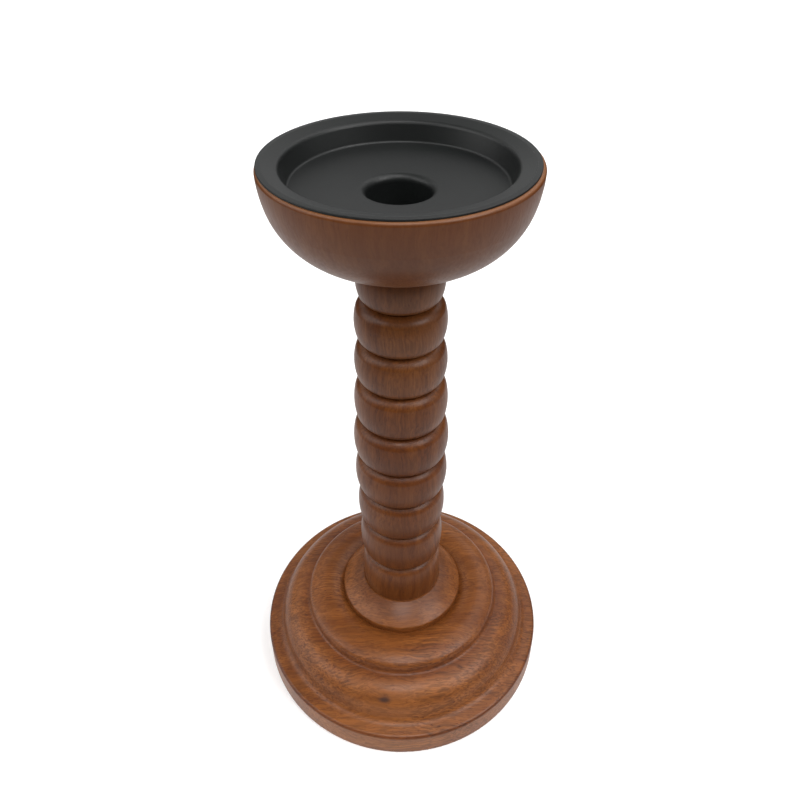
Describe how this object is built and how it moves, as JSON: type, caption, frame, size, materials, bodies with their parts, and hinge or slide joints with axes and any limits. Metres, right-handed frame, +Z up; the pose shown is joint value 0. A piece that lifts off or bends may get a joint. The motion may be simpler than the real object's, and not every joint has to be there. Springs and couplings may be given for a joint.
{
  "type": "wooden candlestick",
  "caption": "Turned hardwood candlestick: stepped round foot, beaded column and round bowl with a black metal dish for a pillar or taper candle.",
  "frame": {"origin": "centre of the felt pad's underside, the plane that the candlestick stands on", "axes": "+Z up the axis of the turning, +X to the right and +Y away from the viewer of the front"},
  "size_m": [0.1362, 0.1362, 0.2568],
  "materials": {
    "felt": "dark pressed felt",
    "base_wood": "flat-sawn red-brown hardwood, satin lacquer",
    "column_wood": "red-brown hardwood with upright grain, satin lacquer",
    "bowl_wood": "red-brown hardwood, satin lacquer",
    "black_coated_metal": "matt black powder coat",
    "zinc_plated_steel": "bright zinc plate"
  },
  "bodies": {
    "stand": {"felt_pad": "felt", "base": "base_wood", "column": "column_wood", "bowl": "bowl_wood", "bowl_screw": "zinc_plated_steel", "base_screw": "zinc_plated_steel", "base_washer": "zinc_plated_steel"},
    "dish": {"candle_insert": "black_coated_metal"}
  },
  "joints": [
    {"name": "lift_dish", "type": "slide", "parent": "stand", "child": "dish", "axis": [0, 0, 1], "range_m": [0, 0.045]}
  ]
}
